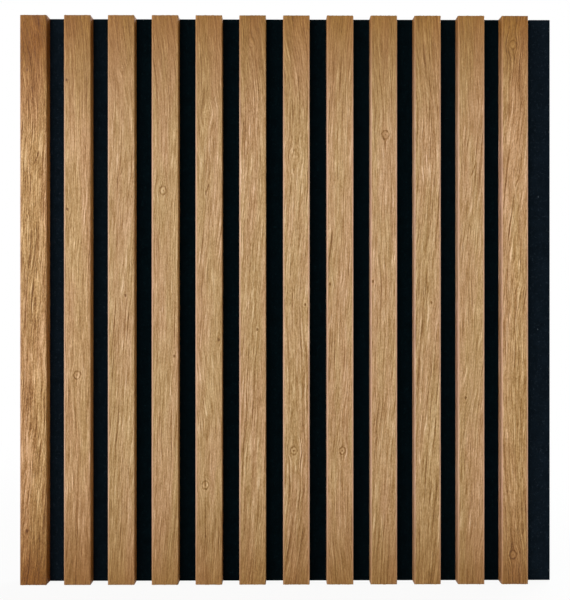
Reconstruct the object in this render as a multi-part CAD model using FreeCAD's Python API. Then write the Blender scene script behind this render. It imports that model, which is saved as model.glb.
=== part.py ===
# Acoustic slat wall panel: veneered slats stapled side by side onto a felt backing board.
# Frame in millimetres: X runs across the slats, Y towards the wall, Z up.
# The origin is the centre of the back face, which lies against the wall.
import FreeCAD, Part
import os
from FreeCAD import Vector

# Backing board
felt_thickness = 9.0
panel_height = 640.0
joint_margin = 28.8  # bare felt to the right of the last slat

# Slats
slat_count = 12
slat_width = 30.0
slat_gap = 19.2
slat_depth = 12.0  # from the felt to the oak face
veneer_thickness = 0.6
core_arris_radius = 0.6  # front corners of the core, before it is wrapped

# Staples, driven from the back with the crown along the slat
staple_rows = 4
staple_end_distance = 50.0  # from the panel's end to the first crown's middle
crown_length = 12.8
wire_width = 1.2
wire_thickness = 0.9
bend_flat = 0.6  # flat pressed across the outside of each bend
staple_bite = 6.0  # depth of the legs in the slat
point_length = 1.6  # chisel point at the end of each leg
crown_sink = 0.9  # crown below the felt's back face

# Dimple that the crown pulls into the felt
dimple_clearance = 0.5  # between the crown and the dimple's rim at its floor
dimple_flare = 1.6  # further growth of the rim from the floor to the back face

# Places worked out from the sizes above
slat_pitch = slat_width + slat_gap
panel_width = slat_count * slat_width + (slat_count - 1) * slat_gap + joint_margin
left_edge = -panel_width / 2
bottom_edge = -panel_height / 2
felt_front = -felt_thickness
slat_front = felt_front - slat_depth
crown_back = -crown_sink
crown_seat = crown_back - wire_thickness
leg_end = felt_front - staple_bite
staple_pitch = (panel_height - 2 * staple_end_distance) / (staple_rows - 1)
diagonal = 0.5**0.5  # share of a radius at the middle of a quarter turn


def slat_left(index):
    return left_edge + index * slat_pitch


def staple_places(index):
    middle = slat_left(index) + slat_width / 2
    first = bottom_edge + staple_end_distance
    return [Vector(middle, 0, first + row * staple_pitch) for row in range(staple_rows)]


def upright(face):
    return face.extrude(Vector(0, 0, panel_height))


def slat_section(left, right, front, radius):
    # Closed section on the bottom plane: square at the felt, rounded at the two front corners.
    turn = radius * (1 - diagonal)
    back_left = Vector(left, felt_front, bottom_edge)
    back_right = Vector(right, felt_front, bottom_edge)
    left_start = Vector(left, front + radius, bottom_edge)
    left_middle = Vector(left + turn, front + turn, bottom_edge)
    left_end = Vector(left + radius, front, bottom_edge)
    right_start = Vector(right - radius, front, bottom_edge)
    right_middle = Vector(right - turn, front + turn, bottom_edge)
    right_end = Vector(right, front + radius, bottom_edge)
    edges = [
        Part.LineSegment(back_left, left_start),
        Part.Arc(left_start, left_middle, left_end),
        Part.LineSegment(left_end, right_start),
        Part.Arc(right_start, right_middle, right_end),
        Part.LineSegment(right_end, back_right),
        Part.LineSegment(back_right, back_left),
    ]
    return Part.Face(Part.Wire([edge.toShape() for edge in edges]))


def core_section(index):
    left = slat_left(index) + veneer_thickness
    right = slat_left(index) + slat_width - veneer_thickness
    return slat_section(left, right, slat_front + veneer_thickness, core_arris_radius)


def wrapped_section(index):
    left = slat_left(index)
    return slat_section(left, left + slat_width, slat_front, core_arris_radius + veneer_thickness)


def slat_core(index):
    core = upright(core_section(index))
    return core.cut([staple(place) for place in staple_places(index)])


def slat_veneer(index):
    return upright(wrapped_section(index).cut(core_section(index)))


def polygon(points):
    return Part.makePolygon(points + points[:1])


def staple(place):
    # Outline in the plane of the crown and legs, about the crown's middle, then given the wire's width.
    half = crown_length / 2
    inner = half - wire_thickness
    bend_level = crown_back - bend_flat
    bend_place = half - bend_flat
    point_level = leg_end + point_length
    outline = [
        (-half, leg_end),
        (-half, bend_level),
        (-bend_place, crown_back),
        (bend_place, crown_back),
        (half, bend_level),
        (half, leg_end),
        (inner, point_level),
        (inner, crown_seat),
        (-inner, crown_seat),
        (-inner, point_level),
    ]
    corners = [place + Vector(-wire_width / 2, y, z) for z, y in outline]
    return Part.Face(polygon(corners)).extrude(Vector(wire_width, 0, 0))


def slot_outline(place, level, growth):
    # Eight-sided slot about the crown, larger than it by the given growth on every side.
    half_width = wire_width / 2
    half_length = crown_length / 2
    outline = [
        (half_width + growth, -half_length),
        (half_width + growth, half_length),
        (half_width, half_length + growth),
        (-half_width, half_length + growth),
        (-half_width - growth, half_length),
        (-half_width - growth, -half_length),
        (-half_width, -half_length - growth),
        (half_width, -half_length - growth),
    ]
    return polygon([place + Vector(x, level, z) for x, z in outline])


def dimple(place):
    floor = slot_outline(place, crown_seat, dimple_clearance)
    rim = slot_outline(place, 0, dimple_clearance + dimple_flare)
    return Part.makeLoft([floor, rim], True, True)


def backing_felt(places):
    board = Part.makeBox(
        panel_width, felt_thickness, panel_height, Vector(left_edge, felt_front, bottom_edge)
    )
    return board.cut([dimple(place) for place in places]).cut([staple(place) for place in places])


def main():
    os.makedirs("parts", exist_ok=True)
    places = [place for index in range(slat_count) for place in staple_places(index)]
    nodes = {
        "backing_felt": backing_felt(places),
        "staples": Part.makeCompound([staple(place) for place in places]),
    }
    for index in range(slat_count):
        nodes[f"slat_{index + 1:02d}_core"] = slat_core(index)
        nodes[f"slat_{index + 1:02d}_veneer"] = slat_veneer(index)
    for name, shape in nodes.items():
        shape.exportStep(f"parts/{name}.step")
        print(name, len(shape.Solids), "solids", round(shape.Volume, 2), "mm3", shape.isValid())


main()
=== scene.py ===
import math
import random

import bmesh
import bpy
from mathutils import Matrix, Vector


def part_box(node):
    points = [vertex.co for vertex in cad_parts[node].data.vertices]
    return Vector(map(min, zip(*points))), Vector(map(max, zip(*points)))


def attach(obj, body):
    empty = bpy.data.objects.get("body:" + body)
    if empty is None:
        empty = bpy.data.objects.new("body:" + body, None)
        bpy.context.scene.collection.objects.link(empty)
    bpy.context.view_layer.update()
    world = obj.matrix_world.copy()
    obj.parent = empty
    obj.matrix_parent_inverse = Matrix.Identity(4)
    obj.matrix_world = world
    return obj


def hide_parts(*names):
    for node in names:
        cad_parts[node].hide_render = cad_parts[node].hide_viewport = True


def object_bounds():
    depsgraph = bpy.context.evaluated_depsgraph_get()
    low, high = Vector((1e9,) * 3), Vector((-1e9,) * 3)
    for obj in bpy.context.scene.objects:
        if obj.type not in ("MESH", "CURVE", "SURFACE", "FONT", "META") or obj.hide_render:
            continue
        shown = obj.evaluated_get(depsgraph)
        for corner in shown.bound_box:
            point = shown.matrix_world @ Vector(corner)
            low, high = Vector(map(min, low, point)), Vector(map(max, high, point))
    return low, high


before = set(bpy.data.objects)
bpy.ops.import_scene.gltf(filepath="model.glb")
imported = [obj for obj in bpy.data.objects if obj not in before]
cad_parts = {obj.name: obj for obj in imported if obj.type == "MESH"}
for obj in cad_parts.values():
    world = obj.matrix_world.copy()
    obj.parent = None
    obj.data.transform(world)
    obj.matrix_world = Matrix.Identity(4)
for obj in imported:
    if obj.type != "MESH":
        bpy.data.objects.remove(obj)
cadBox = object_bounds()
print("frame:", len(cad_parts), "nodes loaded")


# node helpers: a value is a number, a tuple or an output socket

def feed(tree, socket, value):
    if isinstance(value, bpy.types.NodeSocket):
        tree.links.new(value, socket)
    else:
        socket.default_value = value


def calc(tree, operation, first, second=0.0, third=0.0, clamp=False):
    node = tree.nodes.new("ShaderNodeMath")
    node.operation = operation
    node.use_clamp = clamp
    for socket, value in zip(node.inputs, (first, second, third)):
        feed(tree, socket, value)
    return node.outputs[0]


def times(tree, first, second):
    return calc(tree, "MULTIPLY", first, second)


def addOn(tree, total, value, weight):
    return calc(tree, "MULTIPLY_ADD", value, weight, total)


def centred(tree, value):
    return calc(tree, "SUBTRACT", value, 0.5)


def joinXyz(tree, x, y, z):
    node = tree.nodes.new("ShaderNodeCombineXYZ")
    for socket, value in zip(node.inputs, (x, y, z)):
        feed(tree, socket, value)
    return node.outputs[0]


def splitXyz(tree, vector):
    node = tree.nodes.new("ShaderNodeSeparateXYZ")
    feed(tree, node.inputs[0], vector)
    return node.outputs


def noise(tree, vector, scale=1.0, detail=2.0, roughness=0.5):
    node = tree.nodes.new("ShaderNodeTexNoise")
    feed(tree, node.inputs["Vector"], vector)
    feed(tree, node.inputs["Scale"], scale)
    feed(tree, node.inputs["Detail"], detail)
    feed(tree, node.inputs["Roughness"], roughness)
    return node.outputs[0]


def remap(tree, value, low, high, toLow=0.0, toHigh=1.0, smooth=True):
    node = tree.nodes.new("ShaderNodeMapRange")
    node.interpolation_type = "SMOOTHSTEP" if smooth else "LINEAR"
    for name, number in (("From Min", low), ("From Max", high), ("To Min", toLow), ("To Max", toHigh)):
        node.inputs[name].default_value = number
    feed(tree, node.inputs["Value"], value)
    return node.outputs["Result"]


def mixColour(tree, factor, first, second, blend="MIX"):
    node = tree.nodes.new("ShaderNodeMix")
    node.data_type = "RGBA"
    node.blend_type = blend
    feed(tree, node.inputs["Factor"], factor)
    feed(tree, node.inputs[6], first)  # 6 and 7 are the colour sockets A and B
    feed(tree, node.inputs[7], second)
    return node.outputs[2]


def stain(tree, factor, colour, tint):
    # the colour multiplied by a tint, where the factor says so
    return mixColour(tree, factor, colour, mixColour(tree, 1.0, colour, tint, "MULTIPLY"))


def colourRamp(tree, value, stops):
    node = tree.nodes.new("ShaderNodeValToRGB")
    elements = node.color_ramp.elements
    while len(elements) < len(stops):
        elements.new(0.5)
    for element, (place, colour) in zip(elements, stops):
        element.position = place
        element.color = colour
    feed(tree, node.inputs[0], value)
    return node.outputs["Color"]


def screenColour(red, green, blue):
    # a colour as a screen shows it, 0 to 255, in the linear values that sockets take
    def straighten(level):
        share = level / 255
        return share / 12.92 if share <= 0.04045 else ((share + 0.055) / 1.055) ** 2.4
    return (straighten(red), straighten(green), straighten(blue), 1.0)


def newFinish(name):
    material = bpy.data.materials.new(name)
    material.use_nodes = True
    tree = material.node_tree
    shader = tree.nodes["Principled BSDF"]
    place = splitXyz(tree, tree.nodes.new("ShaderNodeTexCoord").outputs["Object"])
    return material, tree, shader, place


def addBump(tree, shader, height, strength, distance):
    node = tree.nodes.new("ShaderNodeBump")
    node.inputs["Strength"].default_value = strength
    node.inputs["Distance"].default_value = distance
    feed(tree, node.inputs["Height"], height)
    feed(tree, shader.inputs["Normal"], node.outputs["Normal"])


# mesh helpers

creaseAngle = math.radians(35)
facingShare = 0.99  # least share of a normal along the way that a face is said to look


def blockIn(low, high):
    # a bmesh that holds one box between two corners
    bm = bmesh.new()
    place = Matrix.Translation((low + high) / 2) @ Matrix.Diagonal((*(high - low), 1))
    bmesh.ops.create_cube(bm, size=1, matrix=place)
    return bm


def looksAlong(face, direction):
    return face.normal.dot(Vector(direction)) > facingShare


def finishPiece(bm, name, material, node):
    # mesh from bmesh, sharp where two faces turn away from each other, riding on the panel
    for edge in bm.edges:
        edge.smooth = edge.is_manifold and edge.calc_face_angle(0) < creaseAngle
    for face in bm.faces:
        face.smooth = True
    mesh = bpy.data.meshes.new(name)
    bm.to_mesh(mesh)
    bm.free()
    mesh.materials.append(material)
    piece = bpy.data.objects.new(name, mesh)
    bpy.context.scene.collection.objects.link(piece)
    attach(piece, "root")
    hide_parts(node)


# oak: one sheet of veneer for each slat, wrapped round its face and sides

oakLook = {
    "tones": [  # from the darkest line of the figure to its palest fleck
        (0.0, screenColour(118, 77, 28)),
        (0.25, screenColour(158, 118, 67)),
        (0.5, screenColour(187, 148, 102)),
        (0.75, screenColour(212, 175, 132)),
        (1.0, screenColour(239, 206, 169)),
    ],
    "rosy": (1.018, 0.976, 1.0, 1.0),
    "straw": (0.988, 1.013, 0.93, 1.0),
    "strawEdge": (0.35, 0.65),  # of the blush noise, from rosy to straw
    "redWash": (1.0, 0.9, 0.76, 1.0),
    # colour of the painted highlight along the arrises
    "arris": screenColour(226, 182, 156),
    "arrisHighlightShare": 0.55,
    "arrisReach": (0.0019, 0.0012),  # from the slat's side, where the painted highlight begins and is full
    "arrisDrop": (0.0018, 0.0006),  # down the side, where it has gone and is still full
    "rightSideShade": (1.12, 0.93, 0.56, 1.0),  # painted light on the sides: warmer, deeper painted shade down its right side, paler pinker painted light down its left
    "leftSideLight": (1.2, 1.14, 1.5, 1.0),
    "foldDrop": (0.0006, 0.0016),  # down the side, where the painted side light and shade begins and is full
    "foldMiddle": 0.001,  # half the width, at the slat's middle, over which left turns to right
    "endTone": screenColour(199, 174, 113),  # darker and warmer towards the cut ends
    "bottomReach": 0.12,
    "bottomDarkening": 0.84,
    "topReach": 0.163,
    "endCurve": 1.37,
    "redReach": 0.45,  # further and deeper in the redder sheets
    "redEndDarkening": 0.3,
    "endCalm": 0.3,  # the figure is fainter there too
    "roughness": (0.58, 0.46),  # from hollow to raised hairs
    "hairSpan": 0.3,
    "specular": 0.3,
    "reliefDepth": 0.0009,
    "reliefStrength": 0.6,
    "fibreRelief": 1.4,
    "poreRelief": -0.3,
}

# cells of noise to a metre, across and along the grain, then what they add
oakGrain = {
    "sways": [(7.0, 5.0, 0.013), (38.0, 10.0, 0.0052), (140.0, 16.0, 0.0009)],  # metres aside
    "turns": (0.2, 0.0, -0.2),  # heights between one slant and the next
    "turnReach": 0.1,
    "bands": (130.0, 5.0, 0.18),
    "fibres": (680.0, 17.0, 0.71),
    "hairs": (1150.0, 54.0, 1.12),
    "grit": (950.0, 420.0, 0.7),
    "pores": (1500.0, 220.0, -0.2),
    "poreEdge": (0.58, 0.7),
    "strokes": [(660.0, 10.0, -0.32), (820.0, 30.0, 0.33)],  # dark ones, then pale ones
    "strokeEdge": (0.58, 0.67),
    "blush": (55.0, 7.0),  # where the oak turns from rosy to straw
    "wobble": (300.0, 220.0),  # leaves knots ragged
    "roughness": 0.55,
    "ringSpacing": 0.0042,
    "ringTurn": 0.75,  # a ring deepens over this share of it, then breaks off
    "ringWeight": -0.09,
}

# the page of the noise that each layer starts on, counted on from the sheet's seed
oakPages = {"sways": 0, "wobble": 2, "blush": 5, "layers": 11, "pores": 29, "strokes": 37}

# heart is how far the middle of the log lies from the slat's middle, depth how far behind its face,
# lean how the log tilts along the slat, tilt how the tone rises towards the top, to a metre,
# slants how far the fibres lean to the right, in degrees, from the top part to the bottom one.
# Knots and cracks: across and up from the slat's middle, radius, kind.
slatFigure = [
    {"seed": 1.3, "heart": 0.034, "depth": 0.05, "lean": 0.05, "sway": 1.15,
     "contrast": 1.45, "red": 0.95, "tilt": 0.08, "slants": (-7, 4, 3, 5),
     "knots": [(-0.007, 0.258, 0.0021, "pin"), (-0.007, -0.259, 0.0021, "pin"),
               (0.002, -0.004, 0.003, "split"),
               (-0.0075, 0.092, 0.0013, "crack"), (0.0043, 0.161, 0.0013, "crack")]},
    {"seed": 4.7, "heart": 0.05, "depth": 0.03, "lean": -0.06, "sway": 1.1,
     "contrast": 0.95, "red": 0.3, "tilt": 0.1, "slants": (-4, 2, 0, 3),
     "knots": [(-0.011, 0.102, 0.0019, "pin"), (-0.012, 0.247, 0.0018, "pin"),
               (0.0, -0.084, 0.004, "eyeDown")]},
    {"seed": 8.2, "heart": 0.012, "depth": 0.022, "lean": 0.09, "sway": 1.2,
     "contrast": 0.95, "red": 0.0, "tilt": 0.0, "slants": (-6, 5, 3, 4),
     "knots": [(0.001, 0.259, 0.0022, "swirl"), (0.005, 0.005, 0.002, "pin"),
               (0.0007, 0.145, 0.001, "crack")]},
    {"seed": 11.9, "heart": -0.045, "depth": 0.03, "lean": 0.03, "sway": 0.9,
     "contrast": 0.95, "red": 0.0, "tilt": 0.0, "slants": (-7, 3, 2, 5),
     "knots": [(-0.002, 0.123, 0.004, "eyeUp"), (0.0103, -0.063, 0.0018, "pin")]},
    {"seed": 15.1, "heart": 0.01, "depth": 0.02, "lean": -0.1, "sway": 1.1,
     "contrast": 1.0, "red": 0.0, "tilt": 0.0, "slants": (-4, 4, -2, 1),
     "knots": [(-0.0015, 0.209, 0.004, "swirl"), (-0.0039, -0.208, 0.004, "eyeUp"),
               (0.0113, -0.045, 0.0018, "pin"), (-0.0016, 0.125, 0.0013, "crack")]},
    {"seed": 19.6, "heart": 0.06, "depth": 0.02, "lean": 0.02, "sway": 0.9,
     "contrast": 0.95, "red": 0.0, "tilt": 0.0, "slants": (-6, 5, 3, 4),
     "knots": [(-0.001, 0.288, 0.003, "swirl"), (0.005, -0.033, 0.0018, "pin")]},
    {"seed": 23.4, "heart": -0.006, "depth": 0.018, "lean": 0.12, "sway": 1.0,
     "contrast": 1.0, "red": 0.0, "tilt": 0.1, "slants": (-8, 6, -3, 8),
     "knots": [(0.01, -0.005, 0.0018, "pin"), (-0.0015, 0.163, 0.0036, "swirl"),
               (-0.0028, -0.1694, 0.004, "eyeUp"), (-0.0035, 0.144, 0.001, "crack")]},
    {"seed": 27.8, "heart": 0.05, "depth": 0.04, "lean": -0.04, "sway": 0.8,
     "contrast": 0.95, "red": 0.0, "tilt": 0.1, "slants": (5, 2, 5, -4),
     "knots": [(-0.0115, 0.018, 0.0019, "pin"), (-0.003, 0.026, 0.002, "swirl"),
               (0.0027, -0.1694, 0.0036, "eyeUp")]},
    {"seed": 31.2, "heart": -0.05, "depth": 0.03, "lean": 0.05, "sway": 0.9,
     "contrast": 1.0, "red": 0.0, "tilt": 0.1, "slants": (-3, 0, 4, 3),
     "knots": [(0.0017, 0.186, 0.0042, "eyeDown"), (-0.0125, 0.021, 0.0018, "pin"),
               (0.0074, -0.234, 0.0026, "swirl")]},
    {"seed": 35.5, "heart": 0.016, "depth": 0.03, "lean": 0.08, "sway": 1.1,
     "contrast": 1.0, "red": 0.0, "tilt": 0.1, "slants": (-6, 5, 3, 5),
     "knots": [(0.0043, -0.003, 0.0018, "pin")]},
    {"seed": 39.9, "heart": 0.008, "depth": 0.02, "lean": -0.09, "sway": 1.3,
     "contrast": 1.0, "red": 0.0, "tilt": 0.1, "slants": (-2, 4, 4, 4),
     "knots": [(-0.0064, -0.11, 0.0018, "pin"), (0.0022, 0.146, 0.0013, "crack")]},
    {"seed": 44.3, "heart": -0.02, "depth": 0.03, "lean": 0.07, "sway": 1.15,
     "contrast": 1.1, "red": 0.42, "tilt": 0.25, "slants": (3, 5, 2, -3),
     "knots": [(-0.002, 0.2875, 0.0042, "eyeDown"), (-0.0022, -0.2866, 0.0042, "eyeUp"),
               (0.002, 0.03, 0.003, "split"), (0.0024, 0.133, 0.0011, "crack")]},
]

# core and ring are changes of tone, tail the end with a dark line,
# bend and reach how the grain goes round, stretch the height for its width,
# lean how far it slopes to the right for its height
knotKinds = {
    "pin": {"core": -0.58, "ring": 0.0, "tail": 0,
            "bend": 0.7, "reach": 2.6, "stretch": 1.5, "lean": 0.0},
    "eyeUp": {"core": 0.05, "ring": -0.6, "tail": 1,
              "bend": 0.8, "reach": 1.8, "stretch": 1.25, "lean": 0.0},
    "eyeDown": {"core": 0.05, "ring": -0.6, "tail": -1,
                "bend": 0.8, "reach": 1.8, "stretch": 1.25, "lean": 0.0},
    "swirl": {"core": 0.08, "ring": -0.16, "tail": 0,
              "bend": 0.85, "reach": 2.4, "stretch": 1.6, "lean": 0.0},
    "split": {"core": -0.24, "ring": 0.0, "tail": -1,
              "bend": 0.6, "reach": 2.6, "stretch": 4.0, "lean": 0.0},
    "crack": {"core": -0.36, "ring": 0.0, "tail": 0,
              "bend": 0.5, "reach": 2.2, "stretch": 8.0, "lean": 0.35},
}

# marks that every kind shares: each edge runs from none to full, in radii from the knot's middle
knotLook = {
    "ragged": 0.6,
    "coreEdge": (0.85, 0.4),
    "ringInside": (0.6, 0.9),
    "ringOutside": (1.2, 0.95),
    "pithEdge": (0.34, 0.1),
    "breaks": (-0.25, 0.15, 1.0, 0.45),  # where the wobble thins the ring, and to what
    "tailWander": 2.2,
    "tailWidth": 0.4,
    "tailStart": (0.8, 1.3),
    "tailEnd": (4.5, 1.6),
    "tailTone": -0.24,
}


def layFlat(tree, place, figure, low, high):
    # across runs over the face and on down both sides
    x, y, z = place
    side = calc(tree, "SUBTRACT", x, (low.x + high.x) / 2)
    fold = calc(tree, "SUBTRACT", y, low.y)
    across = addOn(tree, side, calc(tree, "SIGN", side), fold)
    return {"tree": tree, "seed": figure["seed"], "side": side, "fold": fold, "across": across, "up": z}


def sheetCells(sheet, across, scales, page):
    # noise drawn out along the grain
    tree = sheet["tree"]
    vector = joinXyz(
        tree, times(tree, across, scales[0]), sheet["seed"] + page, times(tree, sheet["up"], scales[1])
    )
    return noise(tree, vector, roughness=oakGrain["roughness"])


def bendGrain(sheet, figure):
    tree = sheet["tree"]
    across = sheet["across"]
    wobble = centred(tree, sheetCells(sheet, across, oakGrain["wobble"], oakPages["wobble"]))

    # knots and cracks push the grain aside
    grain = across
    knots = []
    for place, level, radius, kindName in figure["knots"]:
        kind = knotKinds[kindName]
        above = calc(tree, "SUBTRACT", sheet["up"], level)
        leaning = addOn(tree, calc(tree, "SUBTRACT", across, place), above, -kind["lean"])
        aside = calc(tree, "DIVIDE", leaning, radius)
        rise = calc(tree, "DIVIDE", above, radius * kind["stretch"])
        square = addOn(tree, times(tree, rise, rise), aside, aside)
        far = addOn(tree, calc(tree, "SQRT", square), wobble, knotLook["ragged"])
        near = calc(tree, "EXPONENT", calc(tree, "DIVIDE", square, -kind["reach"] ** 2))
        grain = addOn(tree, grain, times(tree, aside, near), -kind["bend"] * radius)
        knots.append((aside, rise, far, kind))

    # it leans over, by another angle in each part of the slat's height
    slopes = [math.tan(math.radians(slant)) for slant in figure["slants"]]
    grain = addOn(tree, grain, sheet["up"], -slopes[0])
    for level, above, below in zip(oakGrain["turns"], slopes, slopes[1:]):
        drop = calc(tree, "SUBTRACT", level, sheet["up"])
        under = calc(tree, "SMOOTH_MAX", drop, 0.0, oakGrain["turnReach"])
        grain = addOn(tree, grain, under, below - above)

    # it sways, slowly, then closer, then fibre against fibre
    for page, (*scales, reach) in enumerate(oakGrain["sways"], start=oakPages["sways"]):
        sway = centred(tree, sheetCells(sheet, across, scales, page))
        grain = addOn(tree, grain, sway, reach * figure["sway"])
    return grain, knots, wobble


def grainTone(sheet, figure, grain):
    tree = sheet["tree"]
    contrast = figure["contrast"]

    # growth rings cut through by the sheet
    depth = calc(tree, "MULTIPLY_ADD", sheet["up"], figure["lean"], figure["depth"])
    fromHeart = calc(tree, "SUBTRACT", grain, figure["heart"])
    square = addOn(tree, times(tree, depth, depth), fromHeart, fromHeart)
    ring = calc(tree, "FRACT", calc(tree, "DIVIDE", calc(tree, "SQRT", square), oakGrain["ringSpacing"]))
    deepens = remap(tree, ring, 0.0, oakGrain["ringTurn"])
    breaksOff = remap(tree, ring, oakGrain["ringTurn"], 1.0)
    ringTone = centred(tree, calc(tree, "SUBTRACT", deepens, breaksOff))
    tone = addOn(tree, 0.5, ringTone, oakGrain["ringWeight"] * contrast)
    tone = addOn(tree, tone, sheet["up"], figure["tilt"])

    layers = {}
    for page, layer in enumerate(("bands", "fibres", "hairs", "grit"), start=oakPages["layers"]):
        *scales, weight = oakGrain[layer]
        layers[layer] = centred(tree, sheetCells(sheet, grain, scales, page))
        tone = addOn(tree, tone, layers[layer], weight * contrast)

    *scales, weight = oakGrain["pores"]
    layers["pores"] = remap(
        tree, sheetCells(sheet, grain, scales, oakPages["pores"]), *oakGrain["poreEdge"]
    )
    tone = addOn(tree, tone, layers["pores"], weight)
    for page, (*scales, weight) in enumerate(oakGrain["strokes"], start=oakPages["strokes"]):
        stroke = remap(tree, sheetCells(sheet, grain, scales, page), *oakGrain["strokeEdge"])
        tone = addOn(tree, tone, stroke, weight * contrast)
    return tone, layers


def markKnots(sheet, tone, knots, wobble):
    # knot hearts, broken rings with a pith, and the dark line that runs out of some
    tree = sheet["tree"]
    for aside, rise, far, kind in knots:
        tone = addOn(tree, tone, remap(tree, far, *knotLook["coreEdge"]), kind["core"])
        if kind["ring"]:
            inside = remap(tree, far, *knotLook["ringInside"])
            outside = remap(tree, far, *knotLook["ringOutside"])
            pith = remap(tree, far, *knotLook["pithEdge"])
            dark = calc(tree, "MAXIMUM", times(tree, inside, outside), pith)
            dark = times(tree, dark, remap(tree, wobble, *knotLook["breaks"]))
            tone = addOn(tree, tone, dark, kind["ring"])
        if kind["tail"]:
            along = times(tree, rise, kind["tail"])
            fromLine = calc(tree, "ABSOLUTE", addOn(tree, aside, wobble, knotLook["tailWander"]))
            line = remap(tree, fromLine, knotLook["tailWidth"], 0.0)
            line = times(tree, line, remap(tree, along, *knotLook["tailStart"]))
            line = times(tree, line, remap(tree, along, *knotLook["tailEnd"]))
            tone = addOn(tree, tone, line, knotLook["tailTone"])
    return tone


def darkerEnds(sheet, figure, low, high):
    # a share that rises towards both cut ends, where the oak is darker and warmer
    tree = sheet["tree"]
    bottom = low.z + oakLook["bottomReach"]
    top = high.z - oakLook["topReach"]
    lower = remap(tree, sheet["up"], bottom, low.z, 0.0, oakLook["bottomDarkening"], smooth=False)
    upper = remap(tree, sheet["up"], top, high.z, smooth=False)
    nearEnds = calc(tree, "POWER", calc(tree, "MAXIMUM", lower, upper), oakLook["endCurve"])
    return calc(tree, "MULTIPLY", nearEnds, 1.0 + oakLook["redReach"] * figure["red"] ** 2, clamp=True)


def oakColour(sheet, figure, tone, nearEnds, low, high):
    tree = sheet["tree"]
    colour = colourRamp(tree, tone, oakLook["tones"])
    blush = sheetCells(sheet, sheet["across"], oakGrain["blush"], oakPages["blush"])
    tint = mixColour(tree, remap(tree, blush, *oakLook["strawEdge"]), oakLook["rosy"], oakLook["straw"])
    colour = mixColour(tree, 1.0, colour, tint, "MULTIPLY")
    colour = stain(tree, figure["red"], colour, oakLook["redWash"])

    # a painted highlight makes an arris paler, on the right only past the panel's middle
    side = sheet["side"]
    fold = sheet["fold"]
    outward = calc(tree, "ABSOLUTE", side) if low.x + high.x > 0 else times(tree, side, -1.0)
    edge = remap(tree, outward, *((high.x - low.x) / 2 - reach for reach in oakLook["arrisReach"]))
    highlighted = times(tree, edge, remap(tree, fold, *oakLook["arrisDrop"], 0.0, oakLook["arrisHighlightShare"]))
    colour = mixColour(tree, highlighted, colour, oakLook["arris"])

    # painted shade down the right sides and painted light down the left ones, and the cut ends are darker
    rightward = remap(tree, side, -oakLook["foldMiddle"], oakLook["foldMiddle"])
    sideLightTint = mixColour(tree, rightward, oakLook["leftSideLight"], oakLook["rightSideShade"])
    colour = stain(tree, remap(tree, fold, *oakLook["foldDrop"]), colour, sideLightTint)
    for share in (1.0, oakLook["redEndDarkening"] * figure["red"]):
        colour = stain(tree, times(tree, nearEnds, share), colour, oakLook["endTone"])
    return colour


def oakFinish(name, figure, low, high):
    material, tree, shader, place = newFinish(name)
    sheet = layFlat(tree, place, figure, low, high)
    grain, knots, wobble = bendGrain(sheet, figure)
    tone, layers = grainTone(sheet, figure, grain)
    tone = markKnots(sheet, tone, knots, wobble)
    nearEnds = darkerEnds(sheet, figure, low, high)
    calm = addOn(tree, 1.0, nearEnds, -oakLook["endCalm"])
    tone = addOn(tree, 0.5, centred(tree, tone), calm)
    feed(tree, shader.inputs["Base Color"], oakColour(sheet, figure, tone, nearEnds, low, high))

    span = oakLook["hairSpan"]
    rough = remap(tree, layers["hairs"], -span, span, *oakLook["roughness"], smooth=False)
    feed(tree, shader.inputs["Roughness"], rough)
    shader.inputs["Specular IOR Level"].default_value = oakLook["specular"]
    height = addOn(tree, layers["hairs"], layers["fibres"], oakLook["fibreRelief"])
    height = addOn(tree, height, layers["pores"], oakLook["poreRelief"])
    strength = min(1.0, oakLook["reliefStrength"] * figure["contrast"])
    addBump(tree, shader, height, strength, oakLook["reliefDepth"])
    return material


veneerShape = {
    "thickness": 0.0006,
    "arrisRadius": 0.0012,
    "arrisSegments": 6,
    "columns": 25,  # strips across the face, so that the sawn ends can be uneven
    "edgeColumns": 2,  # left whole beside each arris
    "chipDepth": 0.0011,
    "chipRow": 0.0015,
    "slack": 1e-6,  # for places that count as the same
}


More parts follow.
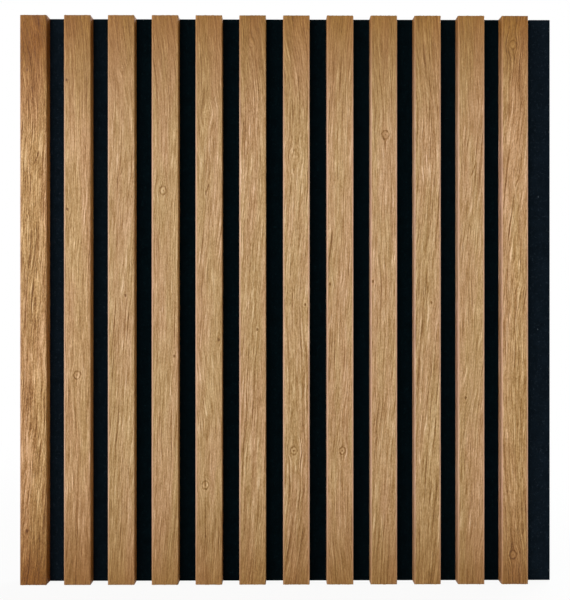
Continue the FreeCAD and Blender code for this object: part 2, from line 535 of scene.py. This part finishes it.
def makeVeneer(number, figure):
    node = f"slat_{number:02d}_veneer"
    low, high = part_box(node)
    shape = veneerShape
    bm = blockIn(low, high)

    # the back and both ends are open, so the face and two sides are left
    ways = ((0, 1, 0), (0, 0, 1), (0, 0, -1))
    opened = [f for f in bm.faces if any(looksAlong(f, way) for way in ways)]
    bmesh.ops.delete(bm, geom=opened, context="FACES")

    def isArris(edge):
        first, second = (v.co for v in edge.verts)
        return max(first.y, second.y) < low.y + shape["slack"] and abs(first.z - second.z) > shape["slack"]

    arrises = [e for e in bm.edges if isArris(e)]
    bmesh.ops.bevel(bm, geom=arrises, offset=shape["arrisRadius"], segments=shape["arrisSegments"],
                    profile=0.5, affect="EDGES", material=-1)

    # strips across the face, and a short row at each end
    strip = (high.x - low.x) / shape["columns"]
    strips = range(shape["edgeColumns"], shape["columns"] - shape["edgeColumns"] + 1)
    cuts = [((low.x + strip * i, 0, 0), (1, 0, 0)) for i in strips]
    cuts += [((0, 0, z), (0, 0, 1)) for z in (low.z + shape["chipRow"], high.z - shape["chipRow"])]
    for spot, normal in cuts:
        whole = bm.verts[:] + bm.edges[:] + bm.faces[:]
        bmesh.ops.bisect_plane(bm, geom=whole, plane_co=spot, plane_no=normal)

    bmesh.ops.recalc_face_normals(bm, faces=bm.faces)
    bmesh.ops.solidify(bm, geom=bm.faces[:], thickness=shape["thickness"])
    bmesh.ops.recalc_face_normals(bm, faces=bm.faces)

    # the saw has torn small chips out of both ends of the face
    dice = random.Random(number)
    for vert in bm.verts:
        atEnd = abs(abs(vert.co.z) - high.z) < shape["slack"]
        if atEnd and vert.co.y < low.y + shape["arrisRadius"]:
            chip = shape["chipDepth"] * dice.random() ** 2
            vert.co.z -= math.copysign(chip, vert.co.z)

    material = oakFinish(f"oakSheet{number:02d}", figure, low, high)
    finishPiece(bm, f"veneer_{number:02d}", material, node)


for number, figure in enumerate(slatFigure, start=1):
    makeVeneer(number, figure)
print("veneers:", len(slatFigure), "oak sheets wrapped")


# felt: a pressed board with soft cut edges, pulled in round each staple

feltLook = {
    "fibres": {  # cells of noise to a metre, how much finer across than up, page of the noise
        "clumps": (90.0, 1.0, 0.0),
        "upright": (900.0, 2.0, 5.0),
        "lying": (900.0, 0.5, 9.0),
        "hairs": (240.0, 1.0, 13.0),
        "breaks": (330.0, 1.0, 21.0),
    },
    "fibreDetail": 3.0,
    "fibreRoughness": 0.6,
    "tones": [(0.35, screenColour(6, 13, 18)), (0.8, screenColour(19, 29, 38))],  # hollows, then fibres
    "clumpWeight": 0.5,
    "pileWeight": 0.6,
    "hair": screenColour(66, 77, 88),  # pale fibres lying on the surface
    "hairWidth": 0.016,
    "hairWeight": 0.55,
    "hairBreak": (0.5, 0.6),
    "paintedGapShade": (0.2, 0.44, 0.4, 1.0),  # painted shade between the slats, blacker than the bare felt
    "firstGaps": (0.035, 0.14),  # from the left edge
    "lastGap": (0.007, 0.002),  # past the last slat
    "faceDepth": (0.002, 0.0005),  # behind the felt's face
    "lint": screenColour(80, 90, 98),
    "lintSpots": [(0.2867, 0.1178), (0.2861, -0.0335)],  # across and up on the margin
    "lintRadius": 0.0007,
    "lintHeart": 1 / 3,  # share of the radius that is solid
    "lintSquash": 0.6,
    "roughness": 0.95,
    "sheen": 0.01,
    "sheenRoughness": 0.6,
    "napStrength": 0.7,
    "napDepth": 0.0006,
}


def feltFinish(low, lastSlat):
    material, tree, shader, (x, y, z) = newFinish("blackFelt")

    def fibres(layer):
        scale, stretch, page = feltLook["fibres"][layer]
        vector = joinXyz(
            tree,
            times(tree, x, scale * stretch),
            calc(tree, "MULTIPLY_ADD", y, scale, page),
            times(tree, z, scale / stretch),
        )
        return noise(tree, vector, detail=feltLook["fibreDetail"], roughness=feltLook["fibreRoughness"])

    pile = calc(tree, "MAXIMUM", fibres("upright"), fibres("lying"))
    clumps = times(tree, fibres("clumps"), feltLook["clumpWeight"])
    colour = colourRamp(tree, addOn(tree, clumps, pile, feltLook["pileWeight"]), feltLook["tones"])

    # single fibres: thin lines where a wide noise crosses its middle, broken by another
    wander = calc(tree, "ABSOLUTE", centred(tree, fibres("hairs")))
    whole = remap(tree, fibres("breaks"), *feltLook["hairBreak"])
    hairs = times(tree, remap(tree, wander, feltLook["hairWidth"], 0.0), whole)
    colour = mixColour(tree, times(tree, hairs, feltLook["hairWeight"]), colour, feltLook["hair"])

    # painted shade: blacker on the face between the slats
    facing = remap(tree, y, *(low.y + depth for depth in feltLook["faceDepth"]))
    pastFirst = remap(tree, x, *(low.x + reach for reach in feltLook["firstGaps"]), smooth=False)
    beforeLast = remap(tree, x, *(lastSlat + reach for reach in feltLook["lastGap"]))
    between = times(tree, pastFirst, beforeLast)
    colour = stain(tree, times(tree, facing, between), colour, feltLook["paintedGapShade"])

    # bits of lint on the bare margin
    radius = feltLook["lintRadius"]
    for across, up in feltLook["lintSpots"]:
        aside = calc(tree, "SUBTRACT", x, across)
        rise = times(tree, calc(tree, "SUBTRACT", z, up), feltLook["lintSquash"])
        far = calc(tree, "SQRT", addOn(tree, times(tree, rise, rise), aside, aside))
        lint = remap(tree, far, radius, radius * feltLook["lintHeart"])
        colour = mixColour(tree, times(tree, lint, facing), colour, feltLook["lint"])

    feed(tree, shader.inputs["Base Color"], colour)
    shader.inputs["Roughness"].default_value = feltLook["roughness"]
    shader.inputs["Specular IOR Level"].default_value = 0.0
    shader.inputs["Sheen Weight"].default_value = feltLook["sheen"]
    shader.inputs["Sheen Roughness"].default_value = feltLook["sheenRoughness"]
    addBump(tree, shader, pile, feltLook["napStrength"], feltLook["napDepth"])
    return material


feltShape = {
    "edgeRound": 0.0007,
    "edgeSegments": 3,
    "stapleRows": 4,
    "crown": (0.0012, 0.0128),
    "pullReach": 0.006,  # how far round a crown the felt is drawn in
    "pullSteps": [  # inset, then sink, from the flat back to the crown's floor
        (0.0014, 0.00008),
        (0.0014, 0.00022),
        (0.0012, 0.0004),
        (0.0009, 0.0005),
        (0.0006, 0.0006),
    ],
}


def makeFelt():
    low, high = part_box("backing_felt")
    stapleLow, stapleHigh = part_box("staples")
    slats = range(1, len(slatFigure) + 1)
    shape = feltShape
    crownWidth, crownLength = shape["crown"]
    wide = crownWidth / 2 + shape["pullReach"]
    tall = crownLength / 2 + shape["pullReach"]
    rowStep = (stapleHigh.z - stapleLow.z - crownLength) / (shape["stapleRows"] - 1)
    rows = [stapleLow.z + crownLength / 2 + rowStep * i for i in range(shape["stapleRows"])]
    cores = [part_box(f"slat_{number:02d}_core") for number in slats]
    columns = [(coreLow.x + coreHigh.x) / 2 for coreLow, coreHigh in cores]

    bm = blockIn(low, high)
    bmesh.ops.bevel(bm, geom=bm.edges[:], offset=shape["edgeRound"], segments=shape["edgeSegments"],
                    profile=0.5, affect="EDGES", material=-1)

    # the back is cut into a grid, with one small panel round each staple
    cuts = [((x + s * wide, 0, 0), (1, 0, 0)) for x in columns for s in (-1, 1)]
    cuts += [((0, 0, z + s * tall), (0, 0, 1)) for z in rows for s in (-1, 1)]
    for spot, normal in cuts:
        back = [f for f in bm.faces if looksAlong(f, (0, 1, 0))]
        edges = list(dict.fromkeys(e for f in back for e in f.edges))
        verts = list(dict.fromkeys(v for f in back for v in f.verts))
        bmesh.ops.bisect_plane(bm, geom=back + edges + verts, plane_co=spot, plane_no=normal)

    def atStaple(face):
        middle = face.calc_center_median()
        inColumn = min(abs(middle.x - x) for x in columns) < wide / 2
        inRow = min(abs(middle.z - z) for z in rows) < tall / 2
        return looksAlong(face, (0, 1, 0)) and inColumn and inRow

    pulled = [f for f in bm.faces if atStaple(f)]
    for inset, sink in shape["pullSteps"]:
        bmesh.ops.inset_individual(bm, faces=pulled, thickness=inset, depth=-sink, use_even_offset=True)
    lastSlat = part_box(f"slat_{slats[-1]:02d}_veneer")[1].x
    finishPiece(bm, "felt_board", feltFinish(low, lastSlat), "backing_felt")


makeFelt()
print("felt: board made, with a pull at each staple")


# fibreboard cores and wire staples keep their CAD shapes

coreLook = {
    "tones": [
        (0.3, screenColour(100, 72, 44)),  # chips
        (0.5, screenColour(146, 110, 72)),
        (0.72, screenColour(176, 142, 100)),  # pale dust
    ],
    "dustScale": 2600.0,
    "dustDetail": 3.0,
    "clumpScale": 420.0,
    "dustWeight": 0.6,
    "clumpWeight": 0.4,
    "roughness": 0.85,
    "specular": 0.2,
    "sawStrength": 0.5,
    "sawDepth": 0.0002,
}


def coreFinish():
    material, tree, shader, place = newFinish("fibreboard")
    spot = joinXyz(tree, *place)
    dust = noise(tree, spot, scale=coreLook["dustScale"], detail=coreLook["dustDetail"])
    clumps = noise(tree, spot, scale=coreLook["clumpScale"])
    blend = addOn(tree, times(tree, dust, coreLook["dustWeight"]), clumps, coreLook["clumpWeight"])
    feed(tree, shader.inputs["Base Color"], colourRamp(tree, blend, coreLook["tones"]))
    shader.inputs["Roughness"].default_value = coreLook["roughness"]
    shader.inputs["Specular IOR Level"].default_value = coreLook["specular"]
    addBump(tree, shader, dust, coreLook["sawStrength"], coreLook["sawDepth"])
    return material


stapleLook = {
    "tones": [(0.35, (0.36, 0.36, 0.35, 1.0)), (0.65, (0.62, 0.62, 0.6, 1.0))],  # dull, then bright
    "drawnScale": (9000.0, 9000.0, 500.0),  # fine lines along the wire
    "bloomScale": 700.0,
    "drawnWeight": 0.5,
    "bloomWeight": 0.5,
    "roughEdge": (0.3, 0.7),
    "roughness": (0.45, 0.28),
    "drawnStrength": 0.3,
    "drawnDepth": 0.00005,
}


def stapleFinish():
    material, tree, shader, place = newFinish("stapleWire")
    stretched = [times(tree, value, scale) for value, scale in zip(place, stapleLook["drawnScale"])]
    drawn = noise(tree, joinXyz(tree, *stretched))
    bloom = noise(tree, joinXyz(tree, *place), scale=stapleLook["bloomScale"])
    blend = addOn(tree, times(tree, drawn, stapleLook["drawnWeight"]), bloom, stapleLook["bloomWeight"])
    feed(tree, shader.inputs["Base Color"], colourRamp(tree, blend, stapleLook["tones"]))
    rough = remap(tree, blend, *stapleLook["roughEdge"], *stapleLook["roughness"], smooth=False)
    feed(tree, shader.inputs["Roughness"], rough)
    shader.inputs["Metallic"].default_value = 1.0
    addBump(tree, shader, drawn, stapleLook["drawnStrength"], stapleLook["drawnDepth"])
    return material


def repaint(node, material):
    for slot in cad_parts[node].material_slots:
        slot.material = material


fibreboard = coreFinish()
for number in range(1, len(slatFigure) + 1):
    repaint(f"slat_{number:02d}_core", fibreboard)
repaint("staples", stapleFinish())
print("cores and staples: finishes assigned")


# studio: pale floor, white surround, one large soft light from the left, a weaker one behind

studio = {
    "floorSize": 5.0,
    "floorDrop": 0.0004,  # below the panel
    "floorColour": (0.82, 0.82, 0.82, 1.0),
    "floorRoughness": 0.9,
    "floorSpecular": 0.1,
    "floorFade": (0.2, 1.0),  # metres from the panel
    "floorWhite": (0.93, 1.0),  # share of plain white there, over the shadow
    "fill": 0.26,  # light from the surround
    "keyPlace": (-1.6, -2.9, 0.34),
    "keySize": (3.65, 2.6),
    "keyRadiance": 3.7,
    "rearPlace": (1.2, 1.1, 0.6),
    "rearSize": (1.4, 1.2),
    "rearRadiance": 6.5,
    "photoFrame": (570, 600),
    "pixelsPerMetre": 890.0,  # on the slats' faces
    "cameraAway": 0.82,  # from the slats' faces
    "cameraAside": -0.0069,
    "cameraTurn": 0.3,  # degrees, towards the right
    "sensor": 36.0,
}


def shownStraight(tree):
    # 1 where it is seen by the camera, in metal or through glass, and 0 where it only gives light
    seen = tree.nodes.new("ShaderNodeLightPath").outputs
    mirrored = calc(tree, "MAXIMUM", seen["Is Glossy Ray"], seen["Is Transmission Ray"])
    return calc(tree, "MAXIMUM", seen["Is Camera Ray"], mirrored)


def makeFloor():
    bm = bmesh.new()
    bmesh.ops.create_grid(bm, x_segments=1, y_segments=1, size=studio["floorSize"] / 2)
    bmesh.ops.translate(bm, verts=bm.verts, vec=(0, 0, cadBox[0].z - studio["floorDrop"]))
    mesh = bpy.data.meshes.new("floor")
    bm.to_mesh(mesh)
    bm.free()
    floor = bpy.data.objects.new("floor", mesh)
    bpy.context.scene.collection.objects.link(floor)

    # the floor shows its shadow near the panel and fades to white further off
    material, tree, shader, (x, y, z) = newFinish("paleFloor")
    shader.inputs["Base Color"].default_value = studio["floorColour"]
    shader.inputs["Roughness"].default_value = studio["floorRoughness"]
    shader.inputs["Specular IOR Level"].default_value = studio["floorSpecular"]
    away = calc(tree, "SQRT", addOn(tree, times(tree, x, x), y, y))
    faded = remap(tree, away, *studio["floorFade"], *studio["floorWhite"])
    white = tree.nodes.new("ShaderNodeEmission")
    both = tree.nodes.new("ShaderNodeMixShader")
    feed(tree, both.inputs[0], times(tree, shownStraight(tree), faded))
    feed(tree, both.inputs[1], shader.outputs[0])
    feed(tree, both.inputs[2], white.outputs[0])
    feed(tree, tree.nodes["Material Output"].inputs["Surface"], both.outputs[0])
    mesh.materials.append(material)


def makeSurround():
    world = bpy.data.worlds.new("surround")
    bpy.context.scene.world = world
    world.use_nodes = True
    tree = world.node_tree
    background = tree.nodes["Background"]
    background.inputs["Color"].default_value = (1.0, 1.0, 1.0, 1.0)
    strength = remap(tree, shownStraight(tree), 0.0, 1.0, studio["fill"], 1.0, smooth=False)
    feed(tree, background.inputs["Strength"], strength)


def makeSoftLight(name, place, size, radiance):
    lamp = bpy.data.lights.new(name, "AREA")
    lamp.shape = "RECTANGLE"
    lamp.size, lamp.size_y = size
    lamp.energy = radiance * math.pi * size[0] * size[1]
    light = bpy.data.objects.new(name, lamp)
    light.location = place
    light.rotation_euler = (-Vector(place)).to_track_quat("-Z", "Y").to_euler()
    light.visible_camera = False
    bpy.context.scene.collection.objects.link(light)


def makeCamera():
    lens = bpy.data.cameras.new("camera")
    lens.sensor_width = studio["sensor"]
    longSide = max(studio["photoFrame"])
    lens.lens = studio["pixelsPerMetre"] * studio["cameraAway"] * studio["sensor"] / longSide
    camera = bpy.data.objects.new("camera", lens)
    camera.location = (studio["cameraAside"], cadBox[0].y - studio["cameraAway"], 0)
    camera.rotation_euler = (math.radians(90), 0, math.radians(-studio["cameraTurn"]))
    bpy.context.scene.collection.objects.link(camera)
    bpy.context.scene.camera = camera


makeFloor()
makeSurround()
makeSoftLight("keyLight", studio["keyPlace"], studio["keySize"], studio["keyRadiance"])
makeSoftLight("rearLight", studio["rearPlace"], studio["rearSize"], studio["rearRadiance"])
makeCamera()
bpy.context.scene.view_settings.view_transform = "Standard"
print("studio: floor, surround, lights and camera set")
